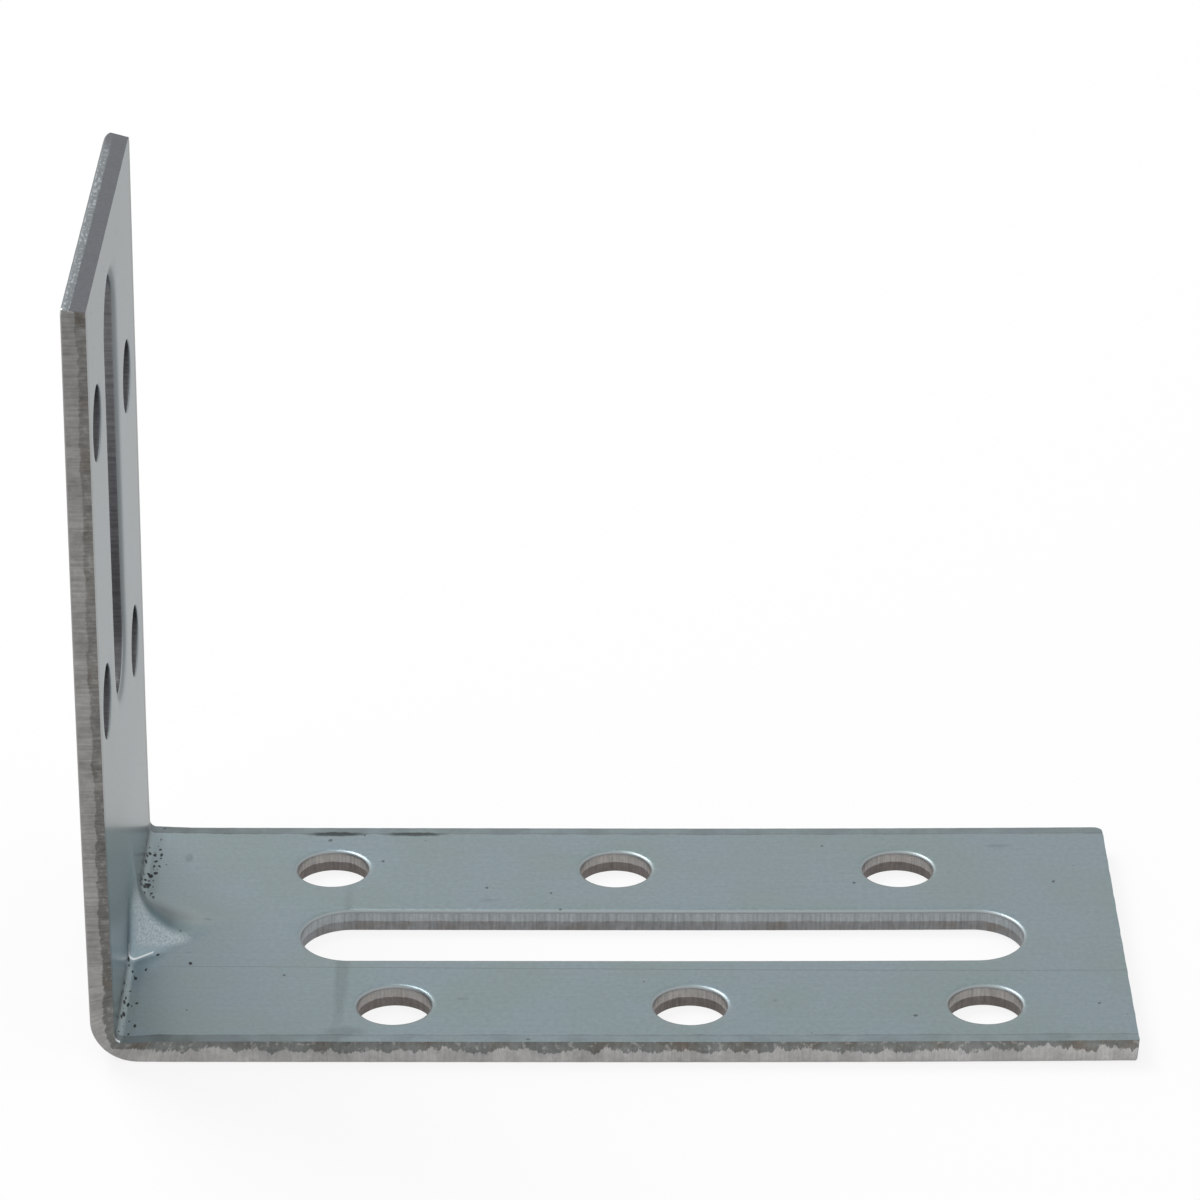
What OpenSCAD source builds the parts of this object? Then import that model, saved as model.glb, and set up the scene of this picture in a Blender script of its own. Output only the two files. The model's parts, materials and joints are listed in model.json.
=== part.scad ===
// Angle bracket, folded from one punched strip of zinc plated steel.
// The long leg lies flat and the short leg stands upright.
// Each leg has a long slot between two staggered rows of screw holes.
// A stiffening dart is pressed across the middle of the fold.
// Units are millimetres. X runs along the flat leg, Y across the strip, Z up.
// The origin is under the middle of the bracket's box, on the surface that it stands on.

/* [Strip] */
// Thickness of the steel
sheet_t = 1.6; // [1.2:0.1:2]
// Width of the strip
strip_w = 30; // [29:0.5:36]
// Length of the flat leg, measured from the outer face of the upright
leg_l = 70; // [66:1:90]
// Height of the upright leg, measured from the underside of the flat leg
upright_h = 54.5; // [52:0.5:70]

/* [Fold] */
// Radius of the outside of the fold
fold_outer_r = 3; // [2.4:0.1:3.4]
// Radius in the inside corner of the fold
fold_inner_r = 0.5; // [0.3:0.1:0.9]

/* [Slots] */
// Width of both slots
slot_w = 6.8; // [5:0.1:7.6]
// End-to-end length of the slot in the flat leg
leg_slot_l = 50; // [40:0.5:52]
// Steel left between that slot and the free end of the flat leg
leg_slot_gap = 6.75; // [5.5:0.25:8]
// End-to-end length of the slot in the upright
upright_slot_l = 30; // [24:0.5:32]
// Steel left between that slot and the top of the upright
upright_slot_gap = 3.9; // [3:0.1:6]

/* [Screw holes] */
// Diameter of the screw holes
hole_d = 5; // [4:0.1:5.4]
// Distance between the holes of a row
hole_pitch = 20; // [14:0.5:21]
// Distance of each row from the middle of the slot
row_offset = 9.5; // [8.5:0.1:10]
// Distance of the front row's last hole from the free end of its leg
front_row_end = 10; // [6:0.5:11]
// Distance of the back row's last hole from the free end of its leg
back_row_end = 15; // [11:0.5:16]
// Shift of the punched pattern and of the dart towards the front edge of the strip
pattern_shift = 0.5; // [0:0.1:1]

/* [Dart] */
// Radius of the dart's crest, on its raised side
dart_nose_r = 2.4; // [1.9:0.1:2.7]
// Slope of the dart's flanks, measured from the direction that it is pressed in
dart_flank = 34; // [20:1:40]
// Reach of the dart along each leg, from the inside corner of the fold
dart_reach = 4; // [3:0.1:4.6]
// Thickness of the steel left over the pressed hollow
dart_wall = 1.4; // [1.1:0.1:1.6]

/* [Punched and sheared edges] */
// Radius that the punch leaves round each hole and slot, on the inside faces
mouth_roll = 0.3; // [0.1:0.05:0.5]
// Radius along the strip's front edge, on the outside faces
front_edge_roll = 0.2; // [0.1:0.05:0.6]
// Radius along the strip's back edge, on the outside faces
back_edge_roll = 0.7; // [0.3:0.05:0.9]
// Radius of the two free back corners, seen square to each leg
back_corner_r = 1; // [0.5:0.1:2]
// Radius of the two free front corners, seen square to each leg
front_corner_r = 0.3; // [0.2:0.1:2]

/* [Hidden] */
$fn = 64;

// How far a cutter runs past the steel that it cuts
over = 1;
half_w = strip_w / 2;
leg_holes = 3;
upright_holes = 2;

// Distance of the dart's nose centre from the outside corner, along the corner's diagonal
dart_nose_d = sheet_t * sqrt(2) + dart_reach / sqrt(2) - dart_nose_r;
dart_l = 4 * (dart_reach + sheet_t);

// A corner of a thick L, filled: two sides along the axes, with a round at the origin.
module rounded_quadrant(x, y, r) {
    union() {
        translate([r, 0]) square([x - r, y]);
        translate([0, r]) square([x, y - r]);
        translate([r, r]) circle(r);
    }
}

// The fold seen from the front: an L with a round outside and a tight inside corner.
module side_profile() {
    difference() {
        rounded_quadrant(leg_l, upright_h, fold_outer_r);
        translate([sheet_t, sheet_t])
            rounded_quadrant(leg_l, upright_h, fold_inner_r);
    }
}

// Carries a drawing in X and Z across the whole width of the strip.
module across_strip() {
    rotate([90, 0, 0])
        linear_extrude(height = strip_w, center = true)
            children();
}

// What a rounded corner takes away: the waste outside an arc of radius r.
// The steel lies at negative x and negative y, and its faces meet at the origin.
module corner_waste(r) {
    difference() {
        translate([-r, -r]) square([r + over, r + over]);
        translate([-r, -r]) circle(r);
    }
}

// The punch's waste at the mouth of a round hole: steel is rolled in all round the rim.
module round_mouth(r) {
    rotate_extrude()
        difference() {
            translate([0, -mouth_roll]) square([r + mouth_roll, mouth_roll + over]);
            translate([r + mouth_roll, -mouth_roll]) circle(mouth_roll);
        }
}

// One screw hole. It is punched down from Z = 0 through a sheet below it.
module screw_hole() {
    translate([0, 0, -sheet_t - over])
        cylinder(h = sheet_t + 2 * over, d = hole_d);
    round_mouth(hole_d / 2);
}

// One slot along X, centred on the origin, punched down from Z = 0.
module slot(length) {
    straight = length - slot_w;
    translate([-straight / 2, -slot_w / 2, -sheet_t - over])
        cube([straight, slot_w, sheet_t + 2 * over]);
    for (side = [-1, 1]) {
        translate([side * straight / 2, 0, -sheet_t - over])
            cylinder(h = sheet_t + 2 * over, d = slot_w);
        translate([side * straight / 2, 0, 0])
            round_mouth(slot_w / 2);
    }
    rotate([90, 0, 90])
        linear_extrude(height = straight, center = true)
            slot_mouth_section();
}

// Section of a slot's rolled mouth, square to its length.
module slot_mouth_section() {
    half_mouth = slot_w / 2 + mouth_roll;
    difference() {
        translate([-half_mouth, -mouth_roll]) square([2 * half_mouth, mouth_roll + over]);
        for (side = [-1, 1])
            translate([side * half_mouth, -mouth_roll]) circle(mouth_roll);
    }
}

// A row of screw holes, counted back from the free end of a leg of length l.
module hole_row(l, count, end_gap, y) {
    for (i = [0:count - 1])
        translate([l - end_gap - i * hole_pitch, y, 0])
            screw_hole();
}

// Everything punched in one leg. The leg runs along X and its inside face is Z = 0.
module punched_pattern(l, slot_l, slot_gap, count) {
    translate([l - slot_gap - slot_l / 2, -pattern_shift, 0])
        slot(slot_l);
    hole_row(l, count, front_row_end, -pattern_shift - row_offset);
    hole_row(l, count, back_row_end, -pattern_shift + row_offset);
}

// Places a leg's cutters on the flat leg.
module on_flat_leg() {
    translate([0, 0, sheet_t]) children();
}

// Places a leg's cutters on the upright, with X turned to point up.
module on_upright() {
    mirror([1, 0, -1]) on_flat_leg() children();
}

// Rounds both free corners at the end of a leg, through its thickness.
module end_corners(l) {
    translate([l, half_w, -sheet_t - over])
        linear_extrude(height = sheet_t + 2 * over)
            corner_waste(back_corner_r);
    mirror([0, 1, 0])
        translate([l, half_w, -sheet_t - over])
            linear_extrude(height = sheet_t + 2 * over)
                corner_waste(front_corner_r);
}

// Rolls one long edge of the outside faces: along the leg, round the fold and up the upright.
module rolled_edge(r) {
    straight_on_leg(r);
    mirror([1, 0, -1]) straight_on_leg(r);
    translate([fold_outer_r, 0, fold_outer_r])
        rotate([90, 0, 0])
            rotate([0, 0, 180])
                rotate_extrude(angle = 90)
                    translate([fold_outer_r, -half_w])
                        mirror([0, 1])
                            corner_waste(r);
}

// The same roll along the straight part of one leg's back edge.
module straight_on_leg(r) {
    translate([fold_outer_r, half_w, 0])
        rotate([90, 0, 90])
            linear_extrude(height = leg_l)
                mirror([0, 1])
                    corner_waste(r);
}

// Section of the dart: a round nose of radius r, with flanks that run on as tangents.
// The nose points along X and its centre is the origin.
module dart_section(r) {
    flank_l = 2 * dart_reach;
    tangent = [r * sin(dart_flank), r * cos(dart_flank)];
    foot = tangent + flank_l * [-cos(dart_flank), sin(dart_flank)];
    circle(r);
    polygon([tangent, foot, [foot.x, -foot.y], [tangent.x, -tangent.y]]);
}

// Carries the dart's section across the fold, at 45 degrees from one leg to the other.
module across_fold(r) {
    rotate([0, -45, 0])
        translate([dart_nose_d, -pattern_shift, 0])
            linear_extrude(height = dart_l, center = true)
                dart_section(r);
}

// The raised side of the dart: a rounded ridge from leg to leg, inside the fold.
module dart_ridge() {
    intersection() {
        across_strip() rounded_quadrant(leg_l, upright_h, fold_outer_r);
        across_fold(dart_nose_r);
    }
}

// The pressed hollow behind the ridge, parallel to it at the thickness that is left.
module dart_hollow() {
    across_fold(dart_nose_r - dart_wall);
}

// The whole bracket, drawn with the outside of the fold on the Y axis.
module folded_strip() {
    difference() {
        union() {
            across_strip() side_profile();
            dart_ridge();
        }
        dart_hollow();
        on_flat_leg() {
            punched_pattern(leg_l, leg_slot_l, leg_slot_gap, leg_holes);
            end_corners(leg_l);
        }
        on_upright() {
            punched_pattern(upright_h, upright_slot_l, upright_slot_gap, upright_holes);
            end_corners(upright_h);
        }
        rolled_edge(back_edge_roll);
        mirror([0, 1, 0]) rolled_edge(front_edge_roll);
    }
}

// The bracket in its own frame, in the blue-grey of passivated zinc.
module bracket() {
    color("#8C979A")
        translate([-leg_l / 2, 0, 0])
            folded_strip();
}

bracket();
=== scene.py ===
# %% [markdown]
# # A folded angle bracket of zinc plated strip
#
# The real bracket is one strip of cold rolled steel. A press punches its slots and holes, shears it
# to length, folds it square and presses a stiffening dart into the fold. Zinc plating and a clear
# blue passivation come last.
#
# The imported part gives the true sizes. Nothing here moves or resizes it: this script lays one finer
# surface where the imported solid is, and gives it the finish of plated steel.

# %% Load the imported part
import json
import bpy
import numpy as np
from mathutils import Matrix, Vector


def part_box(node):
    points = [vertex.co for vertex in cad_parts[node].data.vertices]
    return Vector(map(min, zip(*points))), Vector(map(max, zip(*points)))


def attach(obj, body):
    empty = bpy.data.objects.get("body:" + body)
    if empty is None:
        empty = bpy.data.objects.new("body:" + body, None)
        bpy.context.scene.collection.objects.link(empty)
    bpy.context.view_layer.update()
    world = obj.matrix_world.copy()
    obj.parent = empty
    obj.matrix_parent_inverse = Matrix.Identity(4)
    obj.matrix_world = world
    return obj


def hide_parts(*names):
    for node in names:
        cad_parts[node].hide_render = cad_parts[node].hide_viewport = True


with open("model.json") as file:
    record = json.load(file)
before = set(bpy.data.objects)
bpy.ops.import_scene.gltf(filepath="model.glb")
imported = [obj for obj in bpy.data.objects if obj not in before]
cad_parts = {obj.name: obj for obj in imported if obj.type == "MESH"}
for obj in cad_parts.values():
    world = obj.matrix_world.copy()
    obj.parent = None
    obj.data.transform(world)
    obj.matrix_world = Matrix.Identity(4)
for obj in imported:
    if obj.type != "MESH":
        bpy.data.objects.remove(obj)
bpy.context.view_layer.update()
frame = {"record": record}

# %% [markdown]
# ## Sizes
#
# All shapes below are worked out in millimetres and turned to metres when a mesh is made. The
# strip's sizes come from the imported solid's box, and the places of the slots and holes from the
# interfaces that the part states. Only what neither holds is written out, such as the radii of the
# fold.

# %% Driving sizes
MM = 0.001
mounts = {mount["name"]: mount for mount in frame["record"]["mounts"]}
low, high = (np.array(corner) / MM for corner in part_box("bracket"))
leg_length, strip_width, upright_height = high - low
half_width = strip_width / 2
outer_face_x = low[0]
sheet = 2 * mounts["leg_slot"]["pos_m"][2] / MM

fold_outer_radius = 3.0
fold_inner_radius = 0.5
fold_end = 7.5  # distance from the fold at which the finer mesh of the fold and dart ends
slot_radius = 3.4
leg_slot_length = 50.0
upright_slot_length = 30.0
print(f"strip {strip_width:.1f} wide, {sheet:.1f} thick, legs {leg_length:.1f} and {upright_height:.1f} mm")

# %% [markdown]
# ## The strip before it is folded
#
# Everything is easier on the flat strip. A point of it has three numbers: `s` runs along the strip,
# zero at the fold, up the upright below zero and out along the flat leg above zero; `v` runs across
# it; and `through` goes from 0 on the inside face to 1 on the outside face. One function, further
# down, folds all three into space. So an opening is only a line with a radius, and it is the same
# line before and after the fold.

# %% Slots and holes along the strip
def along_strip(mount):
    """Distance along the strip: X from the outer face on the flat leg, and minus Z on the upright."""
    x, _, z = np.array(mount["pos_m"]) / MM
    return -z if abs(mount["axis"][0]) == 1 else x - outer_face_x


openings = []  # (start, end, place across the strip, radius): a hole is a line of no length
for mount in mounts.values():
    middle = along_strip(mount)
    across_strip = mount["pos_m"][1] / MM
    dims = mount["dims"]
    if mount["kind"] == "bolt_pattern":
        pitch = dims.get("spacing_x_mm") or dims.get("spacing_y_mm")
        for place in (np.arange(dims["count"]) - (dims["count"] - 1) / 2) * pitch:
            openings.append((middle + place, middle + place, across_strip, dims["hole_r_mm"]))
    elif mount["kind"] == "bore":
        openings.append((middle, middle, across_strip, dims["r_mm"]))
    elif mount["kind"] == "other":
        length = leg_slot_length if middle > 0 else upright_slot_length
        reach = length / 2 - slot_radius
        openings.append((middle - reach, middle + reach, across_strip, slot_radius))
print(len(openings), "openings")


def clear_of(opening, s, v):
    """Distance from a rim: to the nearest point of the opening's line, less its radius."""
    start, end, across_strip, radius = opening
    return np.hypot(s - np.clip(s, start, end), v - across_strip) - radius


# %% [markdown]
# ## Lattice lines
#
# The flat strip is meshed in patches that all take their corners from one set of lattice lines, so
# neighbours meet corner to corner and no seam opens. The lines are close together where the shape
# bends: at the sheared edges, whose outside corners are rolled, and at the fold.

# %% Lattice lines along and across the strip
step = 0.5
rim_band = 1.6
rim_lines = rim_band * (1 - np.sin(np.linspace(0, np.pi / 2, 9)))
fold_steps = 40
fold_power = 1.5  # above 1, the lines crowd towards the fold
dart_zone = 5.5
dart_step = 0.25


def lines_between(start, end, spacing):
    """Even lines, with both ends, at about the spacing."""
    return np.linspace(start, end, max(1, round((end - start) / spacing)) + 1)


half_fold = fold_end * np.linspace(0, 1, fold_steps + 1) ** fold_power
lines_s = np.unique(np.round(np.concatenate([
    -upright_height + rim_lines,
    lines_between(-upright_height + rim_band, -fold_end, step),
    -half_fold,
    half_fold,
    lines_between(fold_end, leg_length - rim_band, step),
    leg_length - rim_lines,
]), 4))
lines_v = np.unique(np.round(np.concatenate([
    -half_width + rim_lines,
    lines_between(-half_width + rim_band, -dart_zone, step),
    lines_between(-dart_zone, dart_zone, dart_step),
    lines_between(dart_zone, half_width - rim_band, step),
    half_width - rim_lines,
]), 4))
print(len(lines_s), "lines along the strip,", len(lines_v), "across")

# %% [markdown]
# ## Patches
#
# A plain patch is a grid. A pierced patch is a ring: its outer loop is the patch's border, its inner
# loop is the opening's rim, and the rings between them crowd towards the rim, where the punch rolls
# the steel in. Each outer point looks to the nearest point of the opening's line, so one function
# makes round holes and long slots alike.

# %% Patches of the flat strip
mouth_width = 0.34
mouth_rings = 6
first_ring = 1.6  # in mouth widths from the rim, so that the roll starts on a smooth face
ring_blend = 3


def grid_faces(rows, columns):
    """Corner numbers of the four-sided faces of a grid that is stored row by row."""
    first = (np.arange(rows - 1)[:, None] * columns + np.arange(columns - 1)).ravel()
    return np.stack([first, first + columns, first + columns + 1, first + 1], axis=1)


def lines_in(lines, start, end):
    """The lattice lines from start to end."""
    return lines[(lines >= start - 1e-3) & (lines <= end + 1e-3)]


def plain_patch(start, end, near, far):
    """A grid of the lattice's own points."""
    s, v = np.meshgrid(lines_in(lines_s, start, end), lines_in(lines_v, near, far), indexing="ij")
    return np.stack([s.ravel(), v.ravel()], axis=1), grid_faces(*s.shape)


def pierced_patch(start, end, near, far, opening):
    """Rings from the patch's border to the rim: close to the rim they keep a fixed distance from it,
    and further out each ring is the border and the outermost close ring, mixed in even steps."""
    s, v = lines_in(lines_s, start, end), lines_in(lines_v, near, far)
    border = np.concatenate([
        np.stack([s, np.full(len(s), v[0])], axis=1),
        np.stack([np.full(len(v), s[-1]), v], axis=1)[1:],
        np.stack([s, np.full(len(s), v[-1])], axis=1)[::-1][1:],
        np.stack([np.full(len(v), s[0]), v], axis=1)[::-1][1:],
    ])
    line_start, line_end, across_strip, radius = opening
    on_line = np.clip(border[:, 0], line_start, line_end)
    nearest = np.stack([on_line, np.full(len(border), across_strip)], axis=1)
    outwards = border - nearest
    outwards /= np.linalg.norm(outwards, axis=1, keepdims=True)
    close = mouth_width * (1 - np.sin(np.linspace(0, np.pi / 2, mouth_rings + 1)))
    close = np.concatenate([[first_ring * mouth_width], close])
    rings = nearest + outwards * (radius + close[:, None, None])
    mix = np.linspace(0, 1, ring_blend + 1)[:-1, None, None]
    rings = np.concatenate([border * (1 - mix) + rings[0] * mix, rings])
    return rings.reshape(-1, 2), grid_faces(*rings.shape[:2])


print("loops round an opening:", mouth_rings + 2, "close to its rim and", ring_blend, "further out")

# %% [markdown]
# ## Laying the patches out
#
# Across the strip there are five bands: a rim, a row of holes, the slots, the other row and the
# other rim. Along a band, each opening gets a cell of its own, and plain patches fill the gaps
# between the cells. Points that two patches share are then merged by their place.

# %% One flat mesh from all the patches
slot_margin = 2.0
hole_margin = 8.0
slot_band_half = 5.0


def cells_of(band_openings, start, end):
    """Splits a band from start to end: (cell start, cell end, opening or None), with no gap."""
    cells, reached = [], start
    for opening in sorted(band_openings):
        margin = opening[3] + (hole_margin if opening[0] == opening[1] else slot_margin)
        cell_start = lines_s[np.argmin(abs(lines_s - max(reached, opening[0] - margin)))]
        cell_end = lines_s[np.argmin(abs(lines_s - min(end, opening[1] + margin)))]
        if cell_start > reached:
            cells.append((reached, cell_start, None))
        cells.append((cell_start, cell_end, opening))
        reached = cell_end
    if reached < end:
        cells.append((reached, end, None))
    return cells


inner_rim = half_width - rim_band
slot_across = mounts["leg_slot"]["pos_m"][1] / MM
slot_band = (slot_across - slot_band_half, slot_across + slot_band_half)
patches = [
    plain_patch(-fold_end, fold_end, -half_width, half_width),
    plain_patch(-upright_height, -upright_height + rim_band, -half_width, half_width),
    plain_patch(leg_length - rim_band, leg_length, -half_width, half_width),
]
for start, end in ((-upright_height + rim_band, -fold_end), (fold_end, leg_length - rim_band)):
    patches.append(plain_patch(start, end, -half_width, -inner_rim))
    patches.append(plain_patch(start, end, inner_rim, half_width))
    for near, far in ((-inner_rim, slot_band[0]), slot_band, (slot_band[1], inner_rim)):
        band_openings = [o for o in openings if near < o[2] < far and start < o[0] < end]
        for cell_start, cell_end, opening in cells_of(band_openings, start, end):
            if opening is None:
                patches.append(plain_patch(cell_start, cell_end, near, far))
            else:
                patches.append(pierced_patch(cell_start, cell_end, near, far, opening))
print(len(patches), "patches")

# %% [markdown]
# A face's area, with its sign, comes from the shoelace rule. It turns every face the same way up,
# and drops the faces of no area that a ring can have at a corner of its patch.

# %% Merge the patches and turn their faces one way
offsets = np.cumsum([0] + [len(points) for points, _ in patches])
all_faces = np.concatenate([faces + offset for (_, faces), offset in zip(patches, offsets)])
all_points = np.round(np.concatenate([points for points, _ in patches]), 4)
plan, merged = np.unique(all_points, axis=0, return_inverse=True)
plan_faces = merged.ravel()[all_faces]
corner = plan[plan_faces]
next_corner = np.roll(corner, -1, axis=1)
area = np.sum(corner[..., 0] * next_corner[..., 1] - corner[..., 1] * next_corner[..., 0], axis=1) / 2
plan_faces = np.where((area < 0)[:, None], plan_faces[:, ::-1], plan_faces)
plan_faces = plan_faces[abs(area) > 1e-7]
print(len(plan), "flat points,", len(plan_faces), "flat faces,", round(float(abs(area).sum()), 1), "mm2")

# %% [markdown]
# ## The cut edges
#
# Every edge that belongs to one face only lies on a rim of the steel. This cell finds them and says
# what made each: the slitting shear along the strip, the cropping tool at its ends, or a punch.

# %% Rims of the flat mesh
SLIT, CROPPED, PUNCHED = 1, 2, 3
face_edges = np.stack([plan_faces, np.roll(plan_faces, -1, axis=1)], axis=2).reshape(-1, 2)
_, edge_place, edge_uses = np.unique(
    np.sort(face_edges, axis=1), axis=0, return_index=True, return_counts=True)
rim_edges = face_edges[edge_place[edge_uses == 1]]
rim_points = np.unique(rim_edges)
rim_number = np.full(len(plan), -1)
rim_number[rim_points] = np.arange(len(rim_points))

on_side = abs(abs(plan[:, 1]) - half_width) < 1e-3
on_end = (abs(plan[:, 0] - leg_length) < 1e-3) | (abs(plan[:, 0] + upright_height) < 1e-3)
rim_kind = np.select(
    [on_side[rim_edges].all(axis=1), on_end[rim_edges].all(axis=1)], [SLIT, CROPPED], PUNCHED)
print("rim edges by the shear, the cropping tool and the punches:", np.bincount(rim_kind)[1:])

# %% [markdown]
# ## Rolls and dishes
#
# A shear or a punch first rolls the surface in. The punches leave a narrow roll at each mouth of the
# flat leg, a wide shallow one at the upright's slot, and hardly any at its holes. Each also pulls
# the face down round it into a dish that only the reflections show. On the outside faces the long
# edges are rolled, the back one far more than the front one.
#
# The section of a roll is a quarter ellipse, which meets the face without a crease.

# %% Rolled mouths, dishes and edges
leg_mouth = (mouth_width, 0.18)  # each is a width and a depth
upright_hole_mouth = (0.08, 0.05)
upright_slot_mouth = (1.4, 0.22)
dish = (1.1, 0.05)
front_roll = (0.2, 0.1)
back_roll = (2.4, 0.7)
end_roll = (0.3, 0.15)


def rise(x, start, end):
    """Goes smoothly from 0 at start to 1 at end."""
    t = np.clip((x - start) / (end - start), 0, 1)
    return t * t * (3 - 2 * t)


def close_to(distance, reach):
    """1 on a rim, falling smoothly to 0 at the given distance from it."""
    return 1 - rise(distance, 0, reach)


def rolled(distance, width, depth):
    """Depth of a quarter ellipse: nothing at its width from the edge, and its full depth there."""
    x = np.clip(1 - distance / width, 0, 1)
    return depth * (1 - np.sqrt(1 - x * x))


def mouth_of(opening):
    """Width and depth of an opening's roll: the upright was punched with a sharper tool."""
    start, end, across_strip, radius = opening
    if start > 0:
        return leg_mouth
    return upright_hole_mouth if start == end else upright_slot_mouth


def inside_depth(s, v):
    """How far the inside face dips: the roll and the dish of every opening, added up."""
    depth = np.zeros(np.shape(s))
    for opening in openings:
        clear = clear_of(opening, s, v)
        depth += rolled(clear, *mouth_of(opening)) + rolled(clear, *dish)
    return depth


def outside_depth(s, v):
    """How far the outside face rises: the deepest roll of both long edges and both ends."""
    free_end = np.minimum(leg_length - s, upright_height + s)
    return np.maximum.reduce([
        rolled(half_width + v, *front_roll),
        rolled(half_width - v, *back_roll),
        rolled(free_end, *end_roll),
    ])


print("deepest roll on the outside:", outside_depth(np.array([30.0]), np.array([half_width])), "mm")

# %% [markdown]
# ## Torn zones
#
# After the roll, the tool cuts a bright smooth zone, and at last the rest tears away, which leaves a
# dull rough zone that stands back a little. So a punched wall has its roll on the inside face and
# its torn zone below, and the strip's long edges have it the other way round. The upright's top end
# was cropped on a slant, both across the strip and through it.
#
# `ripple` is a sum of sines whose lengths share no common multiple: it looks irregular, and it is
# the same on every run.

# %% Torn and slanted cuts
sheared_back = 0.07
punched_back = 0.06
leg_end_lean = 0.12
top_end_slope = 0.3
top_end_slant = 0.55
cut_reach = 0.6  # how far from a cut its shift is still felt in the faces


def ripple(x, length):
    """Irregular waves of about the given length, from -1 to 1."""
    turn = 2 * np.pi * np.asarray(x) / length
    waves = np.sin(turn) + 0.7 * np.sin(1.618 * turn + 1.3) + 0.5 * np.sin(2.732 * turn + 2.1)
    return waves / 2.2


def cut_shift(s, v, through):
    """How far the cuts move a point of the strip in its plane. Each cut's torn zone stands back, and
    the faces beside it follow, less and less, so that they never fold over."""
    sheared = -sheared_back * (1 - rise(through, 0.15, 0.4)) + 0.012 * ripple(s, 2.3)
    to_v = np.sign(v) * sheared * close_to(half_width - np.abs(v), cut_reach)
    leg_end = -leg_end_lean * through + 0.02 * ripple(v, 3.1)
    slant = top_end_slant * (0.5 + 0.5 * v / half_width)
    top_end = -top_end_slope * (1 - through) + slant + 0.02 * ripple(v, 3.1)
    near_leg_end = close_to(leg_length - s, rim_band)
    near_top = close_to(upright_height + s, rim_band)
    to_s = leg_end * near_leg_end - top_end * near_top
    punched = punched_back * rise(through, 0.5, 1.0) + 0.008 * ripple(s + v, 1.7)
    for start, end, across_strip, radius in openings:
        from_line = np.stack([s - np.clip(s, start, end), v - across_strip])
        away = np.linalg.norm(from_line, axis=0)
        push_out = punched * close_to(away - radius, cut_reach) / np.maximum(away, radius)
        to_s, to_v = to_s + push_out * from_line[0], to_v + push_out * from_line[1]
    return np.stack([to_s, to_v], axis=-1)


back_top = cut_shift(np.array([-upright_height]), np.array([half_width]), np.array([1.0]))
print("the top's back corner moves along and across by", back_top.round(2), "mm")

# %% [markdown]
# ## The dart
#
# The dart is a rounded rib pressed in from outside, across the fold at 45 degrees. Its crest sags a
# little between the two legs. It lifts a face along the fold's diagonal wherever the rib stands
# higher than the face. The lift is blended with a smooth maximum, which leaves the soft foot that
# pressed steel has: tight in front of the dart and wide behind it.

# %% Section and foot of the dart
DIAGONAL = np.sqrt(2)
dart_reach = 4.0
dart_crest = sheet * DIAGONAL + dart_reach / DIAGONAL
dart_nose = 2.4
dart_flank = np.radians(50)
dart_wall = 1.4
dart_sag = 0.35
tight_foot = 0.35
soft_foot = 2.6


def dart_height(v, place, nose):
    """Section of the dart along the fold's diagonal: a round nose, then straight flanks. Its crest
    sags as a parabola, as `place` goes from one end of it to the other."""
    side = np.abs(v - slot_across)
    sag = dart_sag * np.maximum(1 - (place * DIAGONAL / dart_reach) ** 2, 0)
    tangent = nose * np.cos(dart_flank)
    round_part = np.sqrt(np.maximum(nose ** 2 - np.minimum(side, tangent) ** 2, 0))
    flank_part = np.maximum(side - tangent, 0) / np.tan(dart_flank)
    return dart_crest - dart_nose + round_part - flank_part - sag


def dart_foot(s, v):
    """Width of the blend at the dart's foot: tight in front of it, soft behind it, and a little
    softer out on the leg than at the fold."""
    behind = rise(v - slot_across, -1.6, 2.4)
    out_on_leg = 0.08 * rise(s, 0.7, 2.6)
    return tight_foot + (soft_foot - tight_foot) * np.maximum(behind, out_on_leg)


def lifted(along, up, height, foot):
    """Lifts a face along the diagonal to the dart's height, with a smooth maximum: the higher of the
    two, plus a parabola as wide as the foot where they are nearly equal."""
    over = height - (along + up) / DIAGONAL
    mix = np.clip(0.5 + 0.5 * over / foot, 0, 1)
    lift = over * mix + foot * mix * (1 - mix)
    return along + lift / DIAGONAL, up + lift / DIAGONAL, over


print("the crest stands", round(float(dart_height(slot_across, 0, dart_nose)), 2), "mm from the corner")

# %% [markdown]
# ## Folding the strip
#
# Seen from the front, each face is an L with a rounded corner: half of it is an eighth of a circle
# and a straight run. A point's distance from the fold picks its place on the inside L and on the
# outside L, and `through` mixes the two, so the steel thins in the corner as it does in a tight
# fold. Steel squeezed there swells out of both long edges.
#
# A real bracket is never quite true. This one's upright is twisted and bowed, and its leg curls up
# at the free end, all by 0.1 to 0.3 mm: too little to notice on the bench, and enough for a long
# straight edge to look real.

# %% Fold
edge_swell = 0.22
edge_swell_reach = 2.6
edge_swell_width = 3
upright_twist = 0.19
twist_start = 0.2  # in heights of the upright
upright_bow = 0.11
leg_curl = 0.18


def corner_path(distance, radius, offset):
    """Half an L, from its diagonal: an eighth of a circle, then straight on."""
    eighth = radius * np.pi / 4
    angle = np.pi / 4 + np.minimum(distance, eighth) / radius
    along = offset + radius - radius * np.cos(angle) + np.maximum(distance - eighth, 0)
    return along, offset + radius - radius * np.sin(angle)


def path_length(radius, offset):
    """Length of half an L, from its diagonal to the fold's end."""
    return fold_end - offset - radius + radius * np.pi / 4


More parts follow.
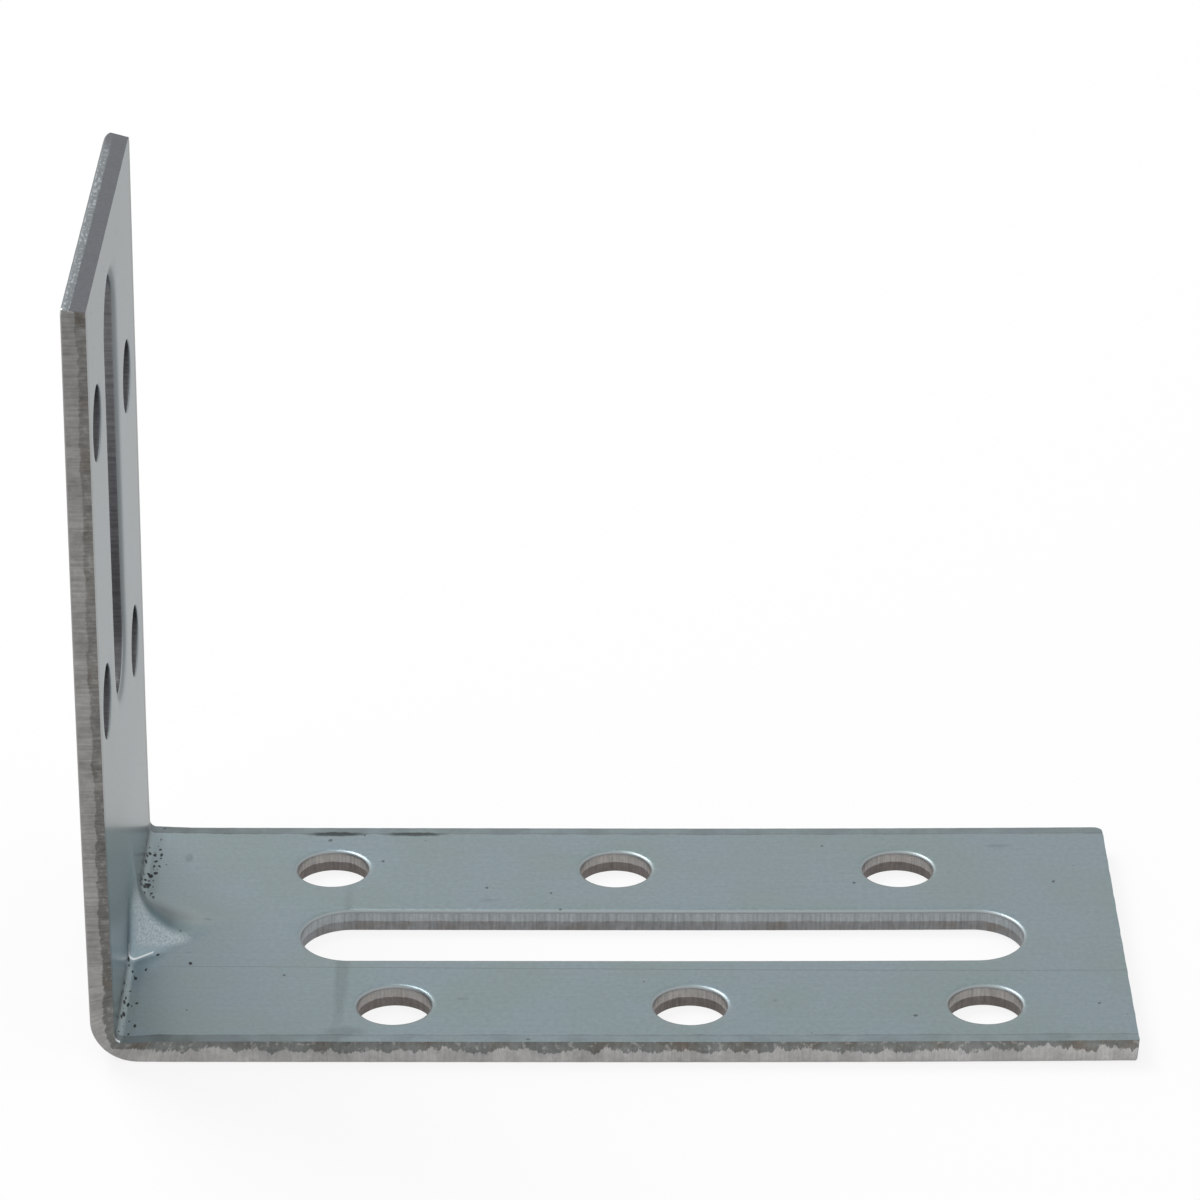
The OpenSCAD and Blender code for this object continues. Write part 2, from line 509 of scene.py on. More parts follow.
def fold_up(s, v, through):
    """A point of the flat strip in space, in millimetres, and how far the dart overtops it inside."""
    half = np.abs(s)
    both_faces = []
    for radius, offset, nose in (
        (fold_inner_radius, sheet, dart_nose),
        (fold_outer_radius, 0.0, dart_nose - dart_wall),
    ):
        reach = path_length(radius, offset)
        distance = np.where(half < fold_end, half * reach / fold_end, reach + half - fold_end)
        along, up = corner_path(distance, radius, offset)
        height = dart_height(v, (along - up) / DIAGONAL, nose)
        both_faces.append(lifted(along, up, height, dart_foot(s, v)))
    (along_in, up_in, over), (along_out, up_out, _) = both_faces
    along = along_in * (1 - through) + along_out * through
    up = up_in * (1 - through) + up_out * through
    swell = edge_swell * np.exp(-(half / edge_swell_reach) ** 2) * (1 - 1.5 * through)
    y = v + np.sign(v) * swell * rise(np.abs(v), half_width - edge_swell_width, half_width)
    z = np.where(s >= 0, up, along)
    twist = upright_twist * np.maximum(z / upright_height - twist_start, 0) * (1 + v / half_width)
    bow = upright_bow * np.sin(np.pi * np.clip(z / upright_height, 0, 1)) * (0.5 - 0.5 * v / half_width)
    x = np.where(s >= 0, along, up) + outer_face_x + twist - np.where(s < 0, bow, 0)
    z = z + leg_curl * np.maximum(s - leg_length / 2, 0) ** 2 / (leg_length / 2) ** 2
    return np.stack([x, y, z], axis=-1), over


half_paths = path_length(fold_inner_radius, sheet), path_length(fold_outer_radius, 0.0)
print("half the fold measures", [round(float(path), 2) for path in half_paths], "mm inside and outside")

# %% [markdown]
# ## Putting the surface together
#
# The inside face is the flat mesh folded at its own depth, and the outside face is the same mesh
# turned over. Between them, each rim edge becomes a strip of small faces through the sheet. The
# free corners are rounded first, by drawing concentric squares onto concentric circles. The back
# corners are rounder on the inside face than on the outside face.

# %% Both faces and the rims between them
wall_rows = 9
back_corner_radii = (0.65, 0.4)
front_corner_radius = 0.12


def round_corner(points, corner, radius):
    """Moves the points of one corner's square onto circles about the square's inner corner."""
    away = np.sign(corner)
    centre = corner - away * radius
    offset = (points - centre) * away
    in_square = (offset > 0).all(axis=1)
    offset = offset[in_square]
    shrink = offset.max(axis=1) / np.maximum(np.linalg.norm(offset, axis=1), 1e-9)
    points[in_square] = centre + away * offset * shrink[:, None]


inside_plan, outside_plan = plan.copy(), plan.copy()
for face_plan, back_corner_radius in zip((inside_plan, outside_plan), back_corner_radii):
    for end in (leg_length, -upright_height):
        round_corner(face_plan, np.array([end, half_width]), back_corner_radius)
        round_corner(face_plan, np.array([end, -half_width]), front_corner_radius)

inside_through = inside_depth(*plan.T) / sheet
outside_through = 1 - outside_depth(*plan.T) / sheet
fraction = np.linspace(0, 1, wall_rows + 1)[:, None]
rim_through = inside_through[rim_points] * (1 - fraction) + outside_through[rim_points] * fraction
inside_shape = inside_plan + cut_shift(*plan.T, inside_through)
outside_shape = outside_plan + cut_shift(*plan.T, outside_through)
fraction = fraction[..., None]
rim_plan = inside_plan[rim_points] * (1 - fraction) + outside_plan[rim_points] * fraction
rim_shape = rim_plan + cut_shift(*plan[rim_points].T, rim_through)
print("rows through each rim:", wall_rows, "over", len(rim_points), "rim points")

# %% [markdown]
# The corners are numbered in three blocks: the inside face, the outside face, and the rows between
# them. `wall_index` gives the corner numbers of every rim, row by row, and its first and last rows
# are corners of the two faces, so the walls are joined to them.

# %% Number the corners and fold them
plan_count = len(plan)
between_count = (wall_rows - 1) * len(rim_points)
wall_index = np.empty((wall_rows + 1, len(rim_points)), int)
wall_index[0] = rim_points
wall_index[-1] = plan_count + rim_points
wall_index[1:-1] = 2 * plan_count + np.arange(between_count).reshape(wall_rows - 1, -1)

between = np.zeros(between_count)
flat_s = np.concatenate([inside_shape[:, 0], outside_shape[:, 0], between])
flat_v = np.concatenate([inside_shape[:, 1], outside_shape[:, 1], between])
flat_through = np.concatenate([inside_through, outside_through, between])
flat_s[wall_index] = rim_shape[..., 0]
flat_v[wall_index] = rim_shape[..., 1]
flat_through[wall_index] = rim_through

corners, over_corners = fold_up(flat_s, flat_v, flat_through)
tail, head = rim_number[rim_edges].T
walls = np.stack([
    wall_index[:-1, head], wall_index[:-1, tail], wall_index[1:, tail], wall_index[1:, head]], axis=-1)
faces = np.concatenate([plan_faces, (plan_faces + plan_count)[:, ::-1], walls.reshape(-1, 4)])
face_kind = np.concatenate([np.zeros(2 * len(plan_faces), int), np.tile(rim_kind, wall_rows)])
print(len(corners), "corners,", len(faces), "faces, about", 2 * len(faces), "triangles")


# %% [markdown]
# ## The Blender mesh
#
# `foreach_set` hands whole arrays to the mesh. Each corner also keeps its place on the flat strip,
# in millimetres, as an attribute named `strip`. The finishes read it, so that rolling lines follow
# the steel round the fold, as they do on the real strip. The attribute `dart` says how far the dart
# stands above the face, so zero is its foot.

# %% Build the piece
def build_mesh(name, corners, faces):
    """A mesh of four-sided faces, from corners in millimetres."""
    mesh = bpy.data.meshes.new(name)
    mesh.vertices.add(len(corners))
    mesh.vertices.foreach_set("co", (corners * MM).astype(np.float32).ravel())
    mesh.loops.add(faces.size)
    mesh.loops.foreach_set("vertex_index", faces.astype(np.int32).ravel())
    mesh.polygons.add(len(faces))
    mesh.polygons.foreach_set("loop_start", np.arange(0, faces.size, 4, dtype=np.int32))
    mesh.update(calc_edges=True)
    mesh.validate()
    return mesh


strip_mesh = build_mesh("folded_strip", corners, faces)
strip_attribute = strip_mesh.attributes.new("strip", "FLOAT_VECTOR", "POINT")
strip_places = np.stack([flat_s, flat_v, flat_through * sheet], axis=1)
strip_attribute.data.foreach_set("vector", strip_places.astype(np.float32).ravel())
dart_attribute = strip_mesh.attributes.new("dart", "FLOAT", "POINT")
dart_attribute.data.foreach_set("value", np.clip(over_corners, -3, 3).astype(np.float32))
strip_mesh.polygons.foreach_set("use_smooth", np.ones(len(faces), bool))
strip_mesh.polygons.foreach_set("material_index", face_kind.astype(np.int32))
strip_mesh.set_sharp_from_angle(angle=np.radians(40))
folded_strip = bpy.data.objects.new("folded_strip", strip_mesh)
bpy.context.scene.collection.objects.link(folded_strip)
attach(folded_strip, "root")
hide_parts("bracket")
print("triangles:", sum(len(p.vertices) - 2 for p in strip_mesh.polygons))


# %% [markdown]
# ## Tools for the finishes
#
# Colours are written as sRGB hex values, the way a colour picker shows them, and one function turns
# them to the linear values that the renderer adds up. One small function adds a node with its
# settings and links. In its `inputs`, a node stands for its own first output, so a chain of nodes
# reads from top to bottom. Blender's names for its shader nodes all start with the same word, which
# the function puts in front.

# %% Colour and node helpers
def linear(hex_colour):
    """sRGB hex to linear RGBA: the standard curve, channel by channel."""
    channels = np.array([int(hex_colour[i:i + 2], 16) / 255 for i in (1, 3, 5)])
    curve = np.where(channels <= 0.04045, channels / 12.92, ((channels + 0.055) / 1.055) ** 2.4)
    return (*curve.tolist(), 1.0)


def add(tree, kind, inputs=None, **settings):
    """Adds a node. An input is given by name or number, as a value, as a socket to link from, or as
    a node, which stands for the first of its outputs that is in use."""
    node = tree.nodes.new("ShaderNode" + kind)
    for name, value in settings.items():
        setattr(node, name, value)
    for key, value in (inputs or {}).items():
        if isinstance(value, bpy.types.Node):
            value = next(output for output in value.outputs if output.enabled)
        if isinstance(value, bpy.types.NodeSocket):
            tree.links.new(value, node.inputs[key])
        else:
            node.inputs[key].default_value = value
    return node


def new_finish(name):
    """An empty node material, its tree, and the strip's own coordinates: along, across and depth."""
    material = bpy.data.materials.new(name)
    material.use_nodes = True
    tree = material.node_tree
    tree.nodes.clear()
    places = add(tree, "Attribute", attribute_name="strip").outputs["Vector"]
    axes = add(tree, "SeparateXYZ", {0: places})
    return material, tree, places, axes.outputs[0], axes.outputs[1], axes.outputs[2]


print("blue zinc in linear light:", [round(channel, 3) for channel in linear("#75858C")])

# %% [markdown]
# ## Finish: rolled and passivated face
#
# Cold rolled steel is smooth, with fine lines along the strip. Zinc evens them out, and the clear
# blue passivation over it is a thin glassy film: it tints the metal, and at a flat angle it mirrors
# like varnish. So the shader is a satin metal under a thin coat. The eye sees a quiet blue-grey with
# a fine grain and a faint cloudiness, and few lines.
#
# This cell makes the metal's colour and the grain. The cells after it add painted shade along the long
# edges and in the fold, painted light and shade round the dart, dirt, scratches and small specks. Each
# leaves a tone, 1 where it does nothing, in the list `face_tones`, and the last cell multiplies the
# colour by all of them. The lines are about 0.25 mm apart and 20 mm long, and the grain is 0.4 mm,
# coarser than real zinc grain, which would be too fine to show.

# %% Rolled zinc: grain, lines and clouds
face_finish, tree, places, along, across, depth = new_finish("zinc_blue_passivated_rolled_face")
outside = add(tree, "Math", {0: depth, 1: sheet / 2}, operation="GREATER_THAN")
within = add(tree, "Math", {0: 1.0, 1: outside}, operation="SUBTRACT")

clouds = add(tree, "TexNoise", {"Vector": places, "Scale": 0.13, "Detail": 4.0})
cloud_mix = add(tree, "MapRange", {"Value": clouds, 1: 0.38, 2: 0.62})
zinc = add(tree, "Mix", {
    0: cloud_mix, 6: linear("#748485"), 7: linear("#75858C")}, data_type="RGBA")

line_places = add(tree, "Mapping", {"Vector": places, "Scale": (0.05, 4.0, 0.0)})
lines = add(tree, "TexNoise", {"Vector": line_places, "Scale": 1.0, "Detail": 3.0})
line_tone = add(tree, "MapRange", {"Value": lines, 1: 0.3, 2: 0.7, 3: 0.975, 4: 1.025})
grain = add(tree, "TexNoise", {
    "Vector": places, "Scale": 2.6, "Detail": 3.0, "Roughness": 0.75})
grain_tone = add(tree, "MapRange", {"Value": grain, 1: 0.3, 2: 0.7, 3: 0.9, 4: 1.1})
face_tones = [line_tone, grain_tone]
print("the face starts with", len(tree.nodes), "nodes")

# %% [markdown]
# A darker border about 1 mm wide is painted along both long edges of the inside face: painted shade,
# for the darker reflection of the slightly sloped strip along each edge. It is strong in some places
# and nearly gone in others. It is stronger on the back edge, and strongest at the fold and up the
# upright. A fine darker line ends it. One noise makes the border wander and sets its strength.

# %% Painted shade along both long edges
from_middle = add(tree, "Math", {0: across}, operation="ABSOLUTE")
wander = add(tree, "TexNoise", {"Vector": places, "Scale": 0.35, "Detail": 4.0})
border_place = add(tree, "Math", {0: wander, 1: 0.5, 2: from_middle}, operation="MULTIPLY_ADD")
border = add(tree, "MapRange", {"Value": border_place, 1: 14.2, 2: 14.4},
             interpolation_type="SMOOTHSTEP")
border_line = add(tree, "Math", {0: border_place, 1: 14.32, 2: 0.09}, operation="COMPARE")
patchy = add(tree, "MapRange", {"Value": wander, 1: 0.42, 2: 0.6, 3: 0.04, 4: 0.22})
on_back = add(tree, "Math", {0: across, 1: 0.0}, operation="GREATER_THAN")
back_extra = add(tree, "Math", {0: on_back, 1: 0.12}, operation="MULTIPLY")
fold_extra = add(tree, "MapRange", {"Value": along, 1: 4.0, 2: 18.0, 3: 0.4, 4: 0.0})
extra = add(tree, "Math", {0: back_extra, 1: fold_extra}, operation="MAXIMUM")
strength = add(tree, "Math", {0: patchy, 1: extra}, operation="ADD")
border_shade = add(tree, "Math", {0: border, 1: strength}, operation="MULTIPLY")
edge_shade = add(tree, "Math", {0: border_line, 1: 0.16, 2: border_shade},
                 operation="MULTIPLY_ADD")
face_tones.append(add(tree, "Math", {0: 1.0, 1: edge_shade}, operation="SUBTRACT"))
print("with the borders,", len(tree.nodes), "nodes")

# %% [markdown]
# Marks are soft ellipses: a Mapping node in TEXTURE mode puts a spherical gradient at a mark's place
# and stretches it to the mark's half length and half width, both in millimetres. A mark's darkness
# may be over 1, which only makes its border harder.
#
# A few marks are listed one by one: the black streaks on the back edge, the band that a roller left
# across the leg, and the biggest specks at the fold, where zinc cracks and picks up dirt. A seeded
# generator scatters the rest: two crowds of specks along the fold, and faint marks anywhere.

# %% List the marks
marks = [  # (along, across, half length, half width, darkness)
    (15.0, 14.0, 2.6, 0.40, 0.8),
    (20.6, 14.0, 2.6, 0.36, 0.75),
    (16.3, -4.0, 0.6, 12.5, 0.17),
    (16.8, -13.6, 1.7, 0.8, 0.2),
    (3.9, 10.4, 0.5, 0.8, 0.2),
    (0.65, 7.8, 0.26, 0.30, 1.6),
    (1.05, 8.2, 0.22, 0.26, 1.6),
    (0.5, 6.5, 0.34, 0.20, 1.6),
    (0.95, 5.2, 0.20, 0.20, 1.3),
    (5.4, -4.5, 0.16, 0.20, 1.6),
    (2.4, -3.4, 0.16, 0.14, 1.4),
    (3.6, -0.8, 0.14, 0.14, 1.3),
    (1.2, -9.9, 0.20, 0.14, 1.4),
    (0.9, 9.9, 0.22, 0.18, 1.6),
]
scatter = np.random.default_rng(11)
for crowd_across, crowd_reach, amount, nearest in ((8.3, 4.2, 44, 0.4), (-9.4, 5.0, 26, 0.15)):
    for _ in range(amount):
        radius = 0.055 * scatter.uniform(1, 2.8) ** 1.3
        mark_along = scatter.normal(nearest, 0.7)
        mark_across = scatter.uniform(crowd_across - crowd_reach, crowd_across + crowd_reach)
        marks.append((mark_along, mark_across, radius, radius * scatter.uniform(1.0, 2.2), 1.6))
for _ in range(12):
    half_breadth = scatter.uniform(0.1, 0.35)
    mark_along = scatter.uniform(3, 68)
    mark_across = scatter.uniform(-14, 14)
    half_length = half_breadth * scatter.uniform(1, 4)
    marks.append((mark_along, mark_across, half_length, half_breadth, scatter.uniform(0.08, 0.3)))
print(len(marks), "marks")

# %% [markdown]
# The strip's own coordinates are first pushed about by a noise, so no mark is a clean ellipse. The
# darkest mark at a place wins, so marks that overlap don't add up to black. What is dirty has lost
# its clear film too, so the same value starts `film`, the strength of the coat.

# %% Marks on the inside face
push = add(tree, "TexNoise", {"Vector": places, "Scale": 2.2, "Detail": 2.0})
pushed = add(tree, "VectorMath", {0: push.outputs["Color"], 1: (0.3, 0.3, 0.0), 2: places},
             operation="MULTIPLY_ADD")
uneven = add(tree, "VectorMath", {0: pushed, 1: (0.15, 0.15, 0.0)}, operation="SUBTRACT")
darkest = None
for mark_along, mark_across, half_length, half_breadth, darkness in marks:
    ellipse = add(tree, "Mapping", {
        "Vector": uneven, "Location": (mark_along, mark_across, 0.0),
        "Scale": (half_length, half_breadth, 1.0)}, vector_type="TEXTURE")
    soft = add(tree, "TexGradient", {"Vector": ellipse}, gradient_type="SPHERICAL")
    dark = add(tree, "Math", {0: soft.outputs["Fac"], 1: 2.0 * darkness}, operation="MULTIPLY")
    dark = add(tree, "Math", {0: dark, 1: min(darkness, 0.95)}, operation="MINIMUM")
    if darkest:
        dark = add(tree, "Math", {0: dark, 1: darkest}, operation="MAXIMUM")
    darkest = dark
clean = add(tree, "Math", {0: 1.0, 1: darkest}, operation="SUBTRACT")
face_tones.append(clean)
film = clean
print("with the marks,", len(tree.nodes), "nodes")

# %% [markdown]
# Smaller specks, 0.1 to 0.3 mm across, crowd along the fold, and a few lie anywhere. A Voronoi
# texture gives one random place and one random colour per cell. The colour's first channel sets the
# speck's size, and its second decides whether the cell has a speck at all: near the fold one cell in
# five has one, and further out one in a hundred. Hardly any lie on the dart.

# %% Specks along the fold
flat_places = add(tree, "VectorMath", {0: uneven, 1: (1.5, 1.3, 0.0)}, operation="MULTIPLY")
cells = add(tree, "TexVoronoi", {"Vector": flat_places, "Scale": 1.0},
            voronoi_dimensions="2D")
chance = add(tree, "SeparateColor", {0: cells.outputs["Color"]})
speck_size = add(tree, "MapRange", {"Value": chance.outputs[0], 3: 0.05, 4: 0.24})
in_speck = add(tree, "Math", {0: cells, 1: speck_size}, operation="LESS_THAN")
from_fold = add(tree, "Math", {0: along}, operation="ABSOLUTE")
crowd = add(tree, "MapRange", {"Value": from_fold, 1: 0.2, 2: 1.8, 3: 0.22, 4: 0.008})
over = add(tree, "Attribute", attribute_name="dart").outputs["Fac"]
beside_dart = add(tree, "MapRange", {"Value": over, 1: -0.4, 2: 0.0, 3: 1.0, 4: 0.06})
likely = add(tree, "Math", {0: crowd, 1: beside_dart}, operation="MULTIPLY")
chosen = add(tree, "Math", {0: chance.outputs[1], 1: likely}, operation="LESS_THAN")
speck = add(tree, "Math", {0: in_speck, 1: chosen}, operation="MULTIPLY")
face_tones.append(add(tree, "MapRange", {"Value": speck, 3: 1.0, 4: 0.35}))
print("with the specks,", len(tree.nodes), "nodes")

# %% [markdown]
# A scratch runs the length of the leg at a slight slant. Along the tight inside corner of the fold a
# dark line is painted, with two fainter lines beside it: painted shade in the corner. Each line is a
# soft ridge across `unsteady`, the distance along the strip with a little noise, and the dart covers
# all of them.

# %% Scratch, and painted shade in the fold
scratch_place = add(tree, "Math", {0: along, 1: 0.0106, 2: across}, operation="MULTIPLY_ADD")
scratch = add(tree, "Math", {0: scratch_place, 1: -4.86, 2: 0.045}, operation="COMPARE")
past_fold = add(tree, "Math", {0: along, 1: 2.5}, operation="GREATER_THAN")
scratch = add(tree, "Math", {0: scratch, 1: past_fold}, operation="MULTIPLY")
face_tones.append(add(tree, "MapRange", {"Value": scratch, 3: 1.0, 4: 0.72}))

unsteady = add(tree, "Math", {0: push, 1: 0.5, 2: along}, operation="MULTIPLY_ADD")
for crease_place, crease_half, crease_tone in ((-0.1, 0.3, 0.58), (0.55, 0.6, 0.9), (1.3, 0.5, 0.9)):
    away = add(tree, "Math", {0: unsteady, 1: crease_place}, operation="SUBTRACT")
    away = add(tree, "Math", {0: away}, operation="ABSOLUTE")
    crease_shade = add(tree, "MapRange", {
        "Value": away, 1: 0.0, 2: crease_half, 3: 1 - crease_tone, 4: 0.0})
    crease_shade = add(tree, "Math", {0: crease_shade, 1: beside_dart}, operation="MULTIPLY")
    face_tones.append(add(tree, "Math", {0: 1.0, 1: crease_shade}, operation="SUBTRACT"))
print("with the scratch and creases,", len(tree.nodes), "nodes")

# %% [markdown]
# The dart's front half is painted pale and mottled: painted light, for the front flank that faces the
# light. It is also rough. The pale part ends in two ways: at the dart's foot, and along a curve over
# the crest, which is a parabola across the strip, steeper on the upright than on the leg. `in_front`
# is 1 on the front side of that curve and 0 behind it.

# %% Painted light on the dart's front
uphill = add(tree, "Math", {0: along, 1: 0.0}, operation="LESS_THAN")
steepness = add(tree, "MapRange", {"Value": uphill, 3: 0.02, 4: 0.085})
squared = add(tree, "Math", {0: along, 1: along}, operation="MULTIPLY")
crest_curve = add(tree, "Math", {0: squared, 1: steepness, 2: -1.25}, operation="MULTIPLY_ADD")
past_crest = add(tree, "Math", {0: across, 1: crest_curve}, operation="SUBTRACT")
in_front = add(tree, "MapRange", {"Value": past_crest, 1: -0.5, 2: 0.45, 3: 1.0, 4: 0.0},
               interpolation_type="SMOOTHSTEP")

foot_height = add(tree, "Math", {0: from_fold, 1: -0.17, 2: 0.75}, operation="MULTIPLY_ADD")
foot_height = add(tree, "Math", {0: along, 1: -0.05, 2: foot_height}, operation="MULTIPLY_ADD")
foot_height = add(tree, "Math", {0: foot_height, 1: -0.35}, operation="MAXIMUM")
over_foot = add(tree, "Math", {0: over, 1: foot_height}, operation="SUBTRACT")
bare_and_lit = add(tree, "MapRange", {"Value": over_foot, 1: -0.25, 2: 0.3},
            interpolation_type="SMOOTHSTEP")
ending = add(tree, "MapRange", {"Value": along, 1: 4.0, 2: 5.4, 3: 1.0, 4: 0.0})
for limit in (in_front, within, ending):
    bare_and_lit = add(tree, "Math", {0: bare_and_lit, 1: limit}, operation="MULTIPLY")

mottle = add(tree, "TexNoise", {
    "Vector": places, "Scale": 5.0, "Detail": 2.0, "Roughness": 0.8})
mottle_mix = add(tree, "MapRange", {"Value": mottle, 1: 0.35, 2: 0.65, 3: 0.3, 4: 0.95})
fading = add(tree, "MapRange", {"Value": along, 1: -4.5, 2: -0.8, 3: 0.8, 4: 1.0})
painted_lit_front = add(tree, "Math", {0: bare_and_lit, 1: fading}, operation="MULTIPLY")
painted_lit_front = add(tree, "Math", {0: painted_lit_front, 1: mottle_mix}, operation="MULTIPLY")
print("with the rubbed dart,", len(tree.nodes), "nodes")

# %% [markdown]
# In front of the dart's foot the face is painted a little brighter: painted light over the shade of the
# foot's hollow. Behind the crest it is painted dull and grey, as far as the dart's hollow reaches:
# painted shade on the back flank, where the film is nearly gone too.

# %% Painted light in front of the dart, painted shade behind it
at_foot = add(tree, "MapRange", {"Value": over, 1: -2.7, 2: -1.4, 3: 0.0, 4: 0.28})
not_far = add(tree, "MapRange", {"Value": along, 1: 2.2, 2: 4.0, 3: 1.0, 4: 0.0})
off_lit_front = add(tree, "Math", {0: 1.0, 1: bare_and_lit}, operation="SUBTRACT")
foot_painted_light = at_foot
for limit in (not_far, in_front, off_lit_front):
    foot_painted_light = add(tree, "Math", {0: foot_painted_light, 1: limit}, operation="MULTIPLY")
face_tones.append(add(tree, "Math", {0: foot_painted_light, 1: 1.0}, operation="ADD"))

raised = add(tree, "MapRange", {"Value": over, 1: -2.9, 2: 0.2},
             interpolation_type="SMOOTHSTEP")
short_of_tip = add(tree, "MapRange", {"Value": along, 1: 2.0, 2: 5.0, 3: 1.0, 4: 0.0})
behind = add(tree, "Math", {0: 1.0, 1: in_front}, operation="SUBTRACT")
shade_and_dull = add(tree, "Math", {0: raised, 1: short_of_tip}, operation="MULTIPLY")
shade_and_dull = add(tree, "Math", {0: shade_and_dull, 1: behind}, operation="MULTIPLY")
back_painted_shade = add(tree, "Math", {0: shade_and_dull, 1: 0.85}, operation="MULTIPLY")
film_kept = add(tree, "MapRange", {"Value": shade_and_dull, 3: 1.0, 4: 0.2})
film = add(tree, "Math", {0: film, 1: film_kept}, operation="MULTIPLY")
print("with its dull back,", len(tree.nodes), "nodes")

# %% [markdown]
# A thin crescent at the dart's front foot, and a bead in the front end of the corner, are painted near
# white: painted highlights. Both are narrow bands, cut out with COMPARE nodes.

# %% Painted highlights: crescent and bead
foot = add(tree, "Math", {0: over, 1: -0.04, 2: 0.08}, operation="COMPARE")
front_foot = add(tree, "Math", {0: across, 1: -2.9}, operation="LESS_THAN")
at_corner = add(tree, "Math", {0: along, 1: 0.4, 2: 1.5}, operation="COMPARE")
crescent_glint = add(tree, "Math", {0: foot, 1: front_foot}, operation="MULTIPLY")
crescent_glint = add(tree, "Math", {0: crescent_glint, 1: at_corner}, operation="MULTIPLY")
bead_across = add(tree, "Math", {0: across, 1: -14.86, 2: 0.17}, operation="COMPARE")
bead_along = add(tree, "Math", {0: along, 1: -0.2, 2: 0.5}, operation="COMPARE")
bead_glint = add(tree, "Math", {0: bead_across, 1: bead_along}, operation="MULTIPLY")
painted_glints = add(tree, "Math", {0: crescent_glint, 1: bead_glint}, operation="MAXIMUM")
painted_glints = add(tree, "Math", {0: painted_glints, 1: within}, operation="MULTIPLY")
print("with the crescent,", len(tree.nodes), "nodes")

# %% [markdown]
# Where a tool rolled the face over an edge, it rubbed the film off. The outside face's front rim has
# the grey of the cut steel beside it, with a painted highlight at the top corner. The rims at both ends
# are darker. The rolled mouths of the openings are pale and matt: bare zinc, with a painted sheen.

# %% Worn rims, a painted highlight and a painted sheen
front_rim = add(tree, "MapRange", {"Value": across, 1: -14.85, 2: -14.7, 3: 1.0, 4: 0.0})
top_rim = add(tree, "MapRange", {"Value": along, 1: -54.2, 2: -54.0, 3: 1.0, 4: 0.0})
leg_rim = add(tree, "MapRange", {"Value": along, 1: 69.5, 2: 69.7})
end_rims = add(tree, "Math", {0: top_rim, 1: leg_rim}, operation="ADD")
sheared_rim = add(tree, "Math", {0: outside, 1: front_rim}, operation="MULTIPLY")
cropped_rim = add(tree, "Math", {0: outside, 1: end_rims}, operation="MULTIPLY")
top_corner_glint = add(tree, "Math", {0: sheared_rim, 1: top_rim}, operation="MULTIPLY")
rolled_in = add(tree, "MapRange", {"Value": depth, 1: 0.03, 2: 0.1})
mouth = add(tree, "Math", {0: rolled_in, 1: within}, operation="MULTIPLY")
matt_rims = add(tree, "Math", {0: cropped_rim, 1: mouth}, operation="MAXIMUM")
film_left = add(tree, "Math", {0: 1.0, 1: matt_rims}, operation="SUBTRACT")
film = add(tree, "Math", {0: film, 1: film_left}, operation="MULTIPLY")
print("with the rims,", len(tree.nodes), "nodes")

# %% [markdown]
# The upright is painted lighter than the leg, and unevenly from top to bottom: painted light, for the
# reflections that the upright shows at a flat angle. Three ramps along it make the tone, and a fourth
# lets it end in the fold.

# %% Painted light on the upright
high_up = add(tree, "MapRange", {"Value": along, 1: -50.0, 2: -38.0, 3: 1.04, 4: 1.25})
middle_up = add(tree, "MapRange", {"Value": along, 1: -34.0, 2: -18.0, 3: 1.0, 4: 0.91})
low_down = add(tree, "MapRange", {"Value": along, 1: -14.0, 2: -10.0, 3: 1.0, 4: 1.11})
upright_painted_light = add(tree, "Math", {0: high_up, 1: middle_up}, operation="MULTIPLY")
upright_painted_light = add(tree, "Math", {0: upright_painted_light, 1: low_down}, operation="MULTIPLY")
is_upright = add(tree, "MapRange", {"Value": along, 1: -5.0, 2: -1.5, 3: 1.0, 4: 0.0})
is_upright = add(tree, "Math", {0: is_upright, 1: within}, operation="MULTIPLY")
face_tones.append(add(tree, "Mix", {0: is_upright, 2: 1.0, 3: upright_painted_light}))
print(len(face_tones), "tones on the face")

# %% [markdown]
# The colour is the zinc times all the tones, with each worn place, painted highlight and painted shade
# mixed over it in turn.
# Roughness follows the grain, and is 0.5 where the zinc is bare. The bump is the grain and the
# rolling lines, 0.02 mm deep at most. The coat is the clear film, and only its strength varies.

# %% The face's shader
tone = face_tones[0]
for next_tone in face_tones[1:]:
    tone = add(tree, "Math", {0: tone, 1: next_tone}, operation="MULTIPLY")
colour = add(tree, "Mix", {0: 1.0, 6: zinc, 7: tone}, data_type="RGBA", blend_type="MULTIPLY")
# The pale dart front and the pale mouths carry painted light, the crescent, the bead and the top corner are
# painted highlights, and the dark back of the dart is painted shade.
for mask, mask_colour in (
    (painted_lit_front, "#B2BEC3"),
    (painted_glints, "#CBD1D4"),
    (sheared_rim, "#B4B2B0"),
    (cropped_rim, "#6E7376"),
    (back_painted_shade, "#52666C"),
    (mouth, "#9CA2A4"),
    (top_corner_glint, "#E6E9EA"),
):
    colour = add(tree, "Mix", {0: mask, 6: colour, 7: linear(mask_colour)}, data_type="RGBA")

satin = add(tree, "MapRange", {"Value": grain, 1: 0.3, 2: 0.7, 3: 0.28, 4: 0.36})
bare = add(tree, "Math", {0: bare_and_lit, 1: matt_rims}, operation="MAXIMUM")
roughness = add(tree, "Mix", {0: bare, 2: satin, 3: 0.5})
relief = add(tree, "Math", {0: lines, 1: 0.3, 2: grain}, operation="MULTIPLY_ADD")
bump = add(tree, "Bump", {"Height": relief, "Strength": 0.12, "Distance": 0.00002})
coat = add(tree, "Math", {0: film, 1: 0.6}, operation="MULTIPLY")
shader = add(tree, "BsdfPrincipled", {
    "Base Color": colour, "Metallic": 1.0, "Roughness": roughness, "Normal": bump,
    "Coat Weight": coat, "Coat Roughness": 0.2})
add(tree, "OutputMaterial", {"Surface": shader})
strip_mesh.materials.append(face_finish)
print("made", face_finish.name, "with", len(tree.nodes), "nodes")

